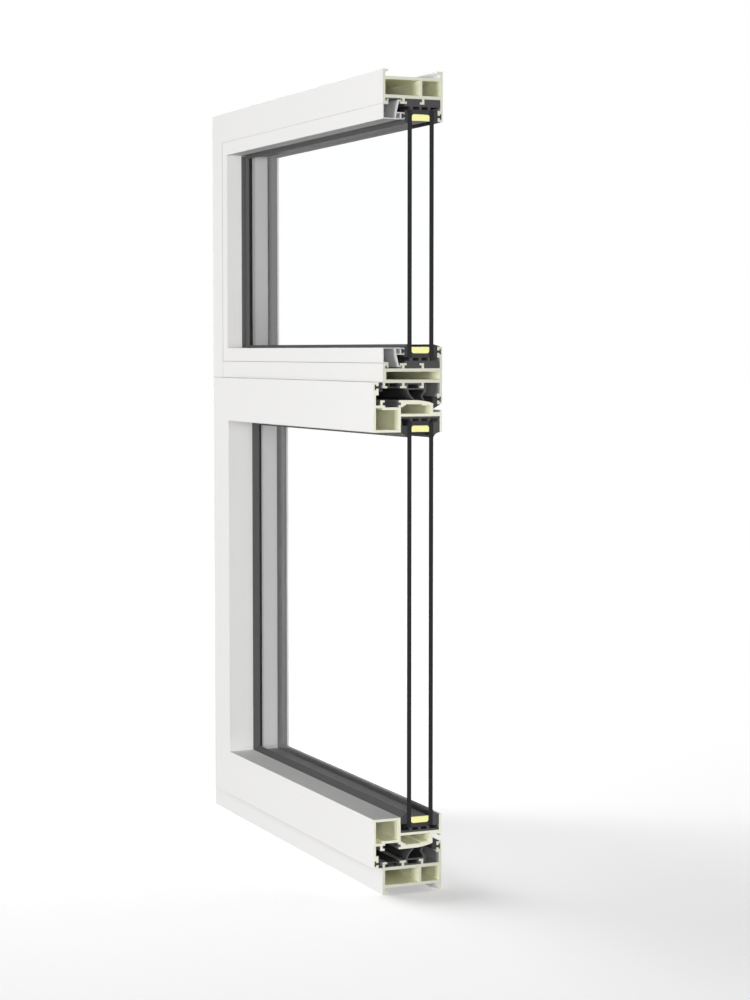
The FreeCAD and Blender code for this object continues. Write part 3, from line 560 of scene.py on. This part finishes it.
class FinishBeads(Operator):
    """Coat the outside of the glazing beads and leave their hollows bare"""

    bl_idname = "window_sample.finish_beads"
    bl_label = "Glazing beads"

    def execute(self, context):
        colours = context.scene.sample_finishes
        inside = soft_plain("bead_inside", colours.bead_inside, roughness=0.5, grain=900.0, contrast=0.05)
        cut_coat = shaded(colours.coat, BEAD_CUT_SHARE)
        cut = soft_plain("bead_cut", cut_coat, roughness=0.5, grain=1200.0, contrast=0.02)
        # Painted shadow in the joint beside the frame, stronger or fainter on each bead by how the light
        # falls.
        head_seam_shadow = shaded(colours.seam, HEAD_SEAM_SHADOW_SHARE)
        jamb_seam_shadow = shaded(colours.seam, JAMB_SEAM_SHADOW_SHARE)
        seam_shadows = {
            "fixed_bead_sill": soft_plain("bead_seam_sill", colours.seam, roughness=0.6),
            "fixed_bead_head": soft_plain("bead_seam_head", head_seam_shadow, roughness=0.6),
            "fixed_bead_jamb": soft_plain("bead_seam_jamb", jamb_seam_shadow, roughness=0.6),
        }
        heights = {
            "fixed_bead_sill": lambda place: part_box("fixed_bead_sill")[1].z - place.z,
            "fixed_bead_head": lambda place: place.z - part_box("fixed_bead_head")[0].z,
            "fixed_bead_jamb": lambda place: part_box("fixed_bead_jamb")[1].x - place.x,
        }
        for node, height in heights.items():
            coat = satin_coat(f"coat_{node}", colours.coat, "Z" if node.endswith("jamb") else "X")

            def choose(place, way, height=height):
                if is_cut(place, way):
                    return "cut"
                deep, high = place.y - ROOM_FACE, height(place)
                if in_zone(deep, high, BEAD_SEAM_SHADOW) and way.y > -FACING:
                    return "seam"
                return "coat" if deep < BEAD_SKIN or high < BEAD_SKIN else "inside"

            give_finishes(node, {"coat": coat, "cut": cut, "inside": inside, "seam": seam_shadows[node]}, choose)
        return {"FINISHED"}


class FinishGlass(Operator):
    """Make the panes clear, with dark sawn edges at the cut"""

    bl_idname = "window_sample.finish_glass"
    bl_label = "Panes"

    def execute(self, context):
        colours = context.scene.sample_finishes
        clear = clear_glass("clear_glass", colours.glass)
        sawn = soft_plain(
            "cut_glass", colours.cut_glass, roughness=0.5, grain=600.0, depth=0.02, contrast=0.2,
        )
        inner = gap_side_glass("gap_side_glass", colours.glass)
        ground = soft_plain("ground_edge", colours.glass_edge, roughness=0.6, grain=600.0)
        for node in ("fixed_inner_pane", "fixed_outer_pane", "sash_inner_pane", "sash_outer_pane"):
            outwards = -1 if "inner" in node else 1

            def choose(place, way, outwards=outwards):
                if abs(way.y) < FACING:
                    return "sawn" if is_cut(place, way) else "ground"
                return "clear" if way.y * outwards > 0 else "inner"

            give_finishes(node, {"clear": clear, "inner": inner, "sawn": sawn, "ground": ground}, choose)
        return {"FINISHED"}


class FinishSpacers(Operator):
    """Finish the spacer bars and the seals round the edges of the glass"""

    bl_idname = "window_sample.finish_spacers"
    bl_label = "Spacers and edge seals"

    def execute(self, context):
        colours = context.scene.sample_finishes
        core = soft_plain("spacer_core", colours.spacer_cut, roughness=0.7, grain=1100.0, contrast=0.04)
        # Painted light on the sash's spacer face, and painted shade on the faces that look up or down.
        fixed_face = colours.spacer_face
        lit_sash_face = shaded(fixed_face, SASH_SPACER_LIGHT_SHARE)
        shaded_level_face = shaded(fixed_face, LEVEL_SPACER_SHADE_SHARE)
        faces = {
            "fixed_spacer": soft_plain("spacer_face_fixed", fixed_face, roughness=0.45, contrast=0.05),
            "sash_spacer": soft_plain("spacer_face_sash", lit_sash_face, roughness=0.45, contrast=0.05),
        }
        level = soft_plain("spacer_face_level", shaded_level_face, roughness=0.45, contrast=0.05)
        butyl = soft_plain("spacer_butyl", colours.rubber, roughness=0.4)
        sealant = soft_plain("edge_sealant", colours.sealant, roughness=0.55, grain=700.0, contrast=0.15)
        for node in ("fixed_spacer", "sash_spacer"):

            def choose(place, way):
                if is_cut(place, way):
                    return "core"
                if abs(way.y) > SPACER_SIDEWAYS:
                    return "butyl"
                return "level" if abs(way.z) > SHADED_SPACER_LEVEL else "face"

            give_finishes(node, {"core": core, "face": faces[node], "level": level, "butyl": butyl}, choose)
        for node in ("fixed_edge_seal", "sash_edge_seal"):
            give_finishes(node, {"sealant": sealant}, lambda place, way: "sealant")
        return {"FINISHED"}


class FinishSeals(Operator):
    """Finish the rubber seals and the slot cover"""

    bl_idname = "window_sample.finish_seals"
    bl_label = "Rubber seals"

    def execute(self, context):
        colours = context.scene.sample_finishes
        rubber = soft_plain("seal_rubber", colours.rubber, roughness=0.6)
        cut = soft_plain("cut_rubber", colours.cut_rubber, roughness=0.7)
        blade = soft_plain("blade_rubber", shaded(colours.lip, INNER_GASKET_SHARE), roughness=0.6)
        # Painted light on the centre gasket's cut, lighter than the other cut rubber.
        cut_fins = soft_plain("cut_fins", shaded(colours.cut_rubber, CUT_FINS_LIGHT_SHARE), roughness=0.7)
        seals = {
            "fixed_inner_gasket": {"rubber": blade, "cut": cut},
            "fixed_outer_gasket": {"rubber": rubber, "cut": cut},
            "centre_gasket": {"rubber": rubber, "cut": cut_fins},
            "overlap_gasket": {"rubber": rubber, "cut": cut},
            "rebate_gasket": {"rubber": rubber, "cut": cut},
            "slot_cover": {"rubber": rubber, "cut": cut},
        }
        for node, finishes in seals.items():
            give_finishes(node, finishes, lambda place, way: "cut" if is_cut(place, way) else "rubber")
        return {"FINISHED"}


def add_lip(name, low, high, taper, rounding):
    """A rubber lip between two corners, thinned by taper at the edge that lies free on the bead."""
    low, high, taper = Vector(low), Vector(high), Vector(taper)
    middle = (low + high) / 2
    bpy.ops.object.select_all(action="DESELECT")
    bpy.ops.mesh.primitive_cube_add(size=1.0, location=middle, scale=high - low)
    lip = bpy.context.object
    lip.name = name
    bpy.ops.object.transform_apply(location=True, rotation=True, scale=True)
    bpy.context.tool_settings.mesh_select_mode = (True, False, False)
    for vertex in lip.data.vertices:
        vertex.select = vertex.co.y < middle.y and (vertex.co - middle).dot(taper) < 0
    bpy.ops.object.mode_set(mode="EDIT")
    bpy.ops.transform.translate(value=taper)
    bpy.ops.mesh.select_all(action="SELECT")
    bpy.ops.mesh.bevel(offset=rounding, segments=2)
    bpy.ops.object.mode_set(mode="OBJECT")
    bpy.ops.object.shade_smooth_by_angle(angle=SMOOTH_ANGLE)
    return lip


class AddLips(Operator):
    """Add the lips of the inner gasket, which lie on the glazing beads beside the glass"""

    bl_idname = "window_sample.add_lips"
    bl_label = "Gasket lips"

    def execute(self, context):
        sizes = context.scene.sample_lips
        rubber = soft_plain("lip_rubber", context.scene.sample_finishes.lip, roughness=0.6)
        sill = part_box("fixed_bead_sill")[1].z
        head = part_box("fixed_bead_head")[0].z
        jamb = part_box("fixed_bead_jamb")[1].x
        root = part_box("fixed_bead_sill")[1].y + sizes.overhang
        free = root - sizes.wide
        low, high = sill + sizes.thick, head - sizes.thick
        side, thinned = jamb + sizes.thick, sizes.thinned
        lips = (
            ("gasket_lip_sill", (jamb, free, sill + LIP_CLEARANCE), (CUT, root, low), (0, 0, -thinned)),
            ("gasket_lip_head", (jamb, free, high), (CUT, root, head - LIP_CLEARANCE), (0, 0, thinned)),
            ("gasket_lip_jamb", (jamb + LIP_CLEARANCE, free, low), (side, root, high), (-thinned, 0, 0)),
        )
        for name, start, end, taper in lips:
            lip = add_lip(name, start, end, taper, sizes.rounding)
            lip.data.materials.append(rubber)
            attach(lip, "root")
        return {"FINISHED"}


class FinishPackers(Operator):
    """Finish the glazing packers, the sash's liner and the bonds round its glass"""

    bl_idname = "window_sample.finish_packers"
    bl_label = "Packers, liner and bonds"

    def execute(self, context):
        colours = context.scene.sample_finishes
        packer = soft_plain("packer_grey", colours.packer, roughness=0.5, grain=1000.0)
        for node in ("fixed_packer_head", "fixed_packer_jamb", "fixed_packer_sill", "sash_liner"):
            give_finishes(node, {"packer": packer}, lambda place, way: "packer")
        outer_tone = shaded(colours.bond, OUTER_BOND_SHARE)
        inner = soft_plain("glazing_bond", colours.bond, roughness=0.45, grain=600.0, depth=0.02)
        outer = soft_plain("glazing_bond_outer", outer_tone, roughness=0.45, grain=600.0, depth=0.02)
        for node, bond in (("sash_inner_bond", inner), ("sash_outer_bond", outer)):
            give_finishes(node, {"bond": bond}, lambda place, way: "bond")
        return {"FINISHED"}


def direction(turn, rise):
    """The way out from the sample at a turn from the room side towards the cut and a rise, in radians."""
    return Vector((math.sin(turn) * math.cos(rise), -math.cos(turn) * math.cos(rise), math.sin(rise)))


def add_softbox(lamp, power, lit):
    """A soft lamp that looks at the middle of the sample and lights only the things in a collection."""
    away = direction(math.radians(lamp.azimuth), math.radians(lamp.elevation))
    bpy.ops.object.light_add(type="AREA", location=MIDDLE + away * lamp.distance)
    softbox = bpy.context.object
    softbox.name = f"{lamp.name}_lamp"
    softbox.data.shape = "RECTANGLE"
    softbox.data.size = lamp.wide
    softbox.data.size_y = lamp.tall
    softbox.data.energy = power
    softbox.rotation_euler = (MIDDLE - softbox.location).to_track_quat("-Z", "Y").to_euler()
    softbox.light_linking.receiver_collection = lit


def lit_things(name, things):
    """A collection of the things that a lamp lights."""
    lit = bpy.data.collections.new(name)
    for thing in things:
        lit.objects.link(thing)
    return lit


def seen_directly(nodes, links):
    """An output that is 1 for rays from the camera, a mirror or clear glass, and 0 for scattered light."""
    path = nodes.new("ShaderNodeLightPath")
    mirrored = nodes.new("ShaderNodeMath")
    mirrored.operation = "MAXIMUM"
    passed = nodes.new("ShaderNodeMath")
    passed.operation = "MAXIMUM"
    links.new(path.outputs["Is Camera Ray"], mirrored.inputs[0])
    links.new(path.outputs["Is Glossy Ray"], mirrored.inputs[1])
    links.new(mirrored.outputs["Value"], passed.inputs[0])
    links.new(path.outputs["Is Transmission Ray"], passed.inputs[1])
    return passed.outputs["Value"]


class BuildStudio(Operator):
    """Add the floor, the lamps, the white backdrop and the camera"""

    bl_idname = "window_sample.build_studio"
    bl_label = "Studio"

    def execute(self, context):
        studio = context.scene.sample_studio
        floor = self.add_floor(studio)
        self.light_backdrop(context.scene, studio)
        nodes = frame["nodes"]
        pieces = [piece for piece in bpy.data.objects if piece.type == "MESH" and piece != floor]
        ends = [nodes[node] for node in ("sash_top_rail", "sash_bottom_rail", "fixed_spacer", "sash_spacer")]
        lit = {
            "sample": lit_things("lit_sample", pieces),
            "ends": lit_things("lit_ends", ends),
            "head": lit_things("lit_head", [nodes["frame_head"]]),
            "floor": lit_things("lit_floor", [floor]),
        }
        for lamp in LAMPS:
            add_softbox(lamp, getattr(studio, f"{lamp.name}_power"), lit[lamp.lights])
        self.add_camera(context.scene, studio)
        context.scene.view_settings.view_transform = "Standard"
        return {"FINISHED"}

    def add_floor(self, studio):
        """A wide pale floor that glows for the camera, so that it runs into the backdrop."""
        bpy.ops.mesh.primitive_circle_add(
            vertices=96, radius=FLOOR_RADIUS, fill_type="NGON", location=(0, 0, 0),
        )
        floor = bpy.context.object
        floor.name = "studio_floor"
        finish = Finish("pale_floor")
        finish.shader.inputs["Base Color"].default_value = (FLOOR_TONE, FLOOR_TONE, FLOOR_TONE, 1.0)
        finish.shader.inputs["Roughness"].default_value = 1.0
        finish.shader.inputs["Specular IOR Level"].default_value = 0.0
        place = finish.add("ShaderNodeTexCoord")
        away = finish.add("ShaderNodeVectorMath", operation="LENGTH")
        glow = finish.add("ShaderNodeEmission")
        pale = finish.add("ShaderNodeAddShader")
        dim = finish.add("ShaderNodeBsdfDiffuse")
        dim.inputs["Color"].default_value = (UNSEEN_FLOOR_TONE, UNSEEN_FLOOR_TONE, UNSEEN_FLOOR_TONE, 1.0)
        both = finish.add("ShaderNodeMixShader")
        finish.link(place.outputs["Object"], away.inputs[0])
        strength = finish.spread(
            away.outputs["Value"], low=studio.floor_glow, high=1.0, start=GLOW_NEAR, end=GLOW_FAR,
        )
        finish.link(strength, glow.inputs["Strength"])
        finish.link(finish.shader.outputs["BSDF"], pale.inputs[0])
        finish.link(glow.outputs["Emission"], pale.inputs[1])
        finish.link(seen_directly(finish.nodes, finish.links), both.inputs["Fac"])
        finish.link(dim.outputs["BSDF"], both.inputs[1])
        finish.link(pale.outputs["Shader"], both.inputs[2])
        finish.link(both.outputs["Shader"], finish.nodes["Material Output"].inputs["Surface"])
        floor.data.materials.append(finish.material)
        return floor

    def light_backdrop(self, scene, studio):
        """A world that is white to the camera and lights the sample mostly from the sides."""
        world = bpy.data.worlds.new("studio_world")
        scene.world = world
        world.use_nodes = True
        nodes, links = world.node_tree.nodes, world.node_tree.links
        nodes.clear()
        place = nodes.new("ShaderNodeTexCoord")
        split = nodes.new("ShaderNodeSeparateXYZ")
        band = nodes.new("ShaderNodeMapRange")
        band.inputs["From Min"].default_value = 0.0
        band.inputs["From Max"].default_value = 1.0
        band.inputs["To Min"].default_value = studio.ambient * HORIZON_SHARE
        band.inputs["To Max"].default_value = studio.ambient * ZENITH_SHARE
        lit = nodes.new("ShaderNodeBackground")
        white = nodes.new("ShaderNodeBackground")
        white.inputs["Strength"].default_value = 1.0
        white.inputs["Color"].default_value = (1, 1, 1, 1)
        both = nodes.new("ShaderNodeMixShader")
        output = nodes.new("ShaderNodeOutputWorld")
        links.new(place.outputs["Generated"], split.inputs["Vector"])
        links.new(split.outputs["Z"], band.inputs["Value"])
        links.new(band.outputs["Result"], lit.inputs["Strength"])
        links.new(seen_directly(nodes, links), both.inputs["Fac"])
        links.new(lit.outputs["Background"], both.inputs[1])
        links.new(white.outputs["Background"], both.inputs[2])
        links.new(both.outputs["Shader"], output.inputs["Surface"])

    def add_camera(self, scene, studio):
        """The camera at the photograph's viewing angle."""
        bpy.ops.object.camera_add(location=studio.view_place)
        camera = bpy.context.object
        camera.name = "studio_camera"
        camera.data.lens = studio.view_lens
        camera.data.sensor_width = 36.0
        camera.data.clip_end = 100.0
        away = direction(studio.view_azimuth, studio.view_elevation)
        camera.rotation_euler = (-away).to_track_quat("-Z", "Y").to_euler()
        scene.camera = camera


class SamplePanel(Panel):
    """Sidebar panel with the steps and the values behind them"""

    bl_idname = "VIEW3D_PT_window_sample"
    bl_label = "Window corner sample"
    bl_space_type = "VIEW_3D"
    bl_region_type = "UI"
    bl_category = "Window sample"

    def draw(self, context):
        layout = self.layout
        for operator in STEPS:
            layout.operator(operator.bl_idname)
        scene = context.scene
        for group in (scene.sample_finishes, scene.sample_lips, scene.sample_studio):
            box = layout.box()
            for name in group.__annotations__:
                box.prop(group, name)


STEPS = (
    FinishFrame,
    FinishSash,
    FinishBeads,
    FinishGlass,
    FinishSpacers,
    FinishSeals,
    AddLips,
    FinishPackers,
    BuildStudio,
)
CLASSES = (SampleFinishes, SampleLips, SampleStudio, *STEPS, SamplePanel)


def register():
    """Add the classes and their settings to Blender."""
    for item in CLASSES:
        bpy.utils.register_class(item)
    bpy.types.Scene.sample_finishes = PointerProperty(type=SampleFinishes)
    bpy.types.Scene.sample_lips = PointerProperty(type=SampleLips)
    bpy.types.Scene.sample_studio = PointerProperty(type=SampleStudio)


def unregister():
    """Take the classes and their settings away again."""
    del bpy.types.Scene.sample_studio
    del bpy.types.Scene.sample_lips
    del bpy.types.Scene.sample_finishes
    for item in reversed(CLASSES):
        bpy.utils.unregister_class(item)


def main():
    """Finish every part and build the studio."""
    register()
    bpy.ops.object.select_all(action="DESELECT")
    bpy.ops.window_sample.finish_frame()
    bpy.ops.window_sample.finish_sash()
    bpy.ops.window_sample.finish_beads()
    bpy.ops.window_sample.finish_glass()
    bpy.ops.window_sample.finish_spacers()
    bpy.ops.window_sample.finish_seals()
    bpy.ops.window_sample.add_lips()
    bpy.ops.window_sample.finish_packers()
    bpy.ops.window_sample.build_studio()


if __name__ == "__main__":
    main()
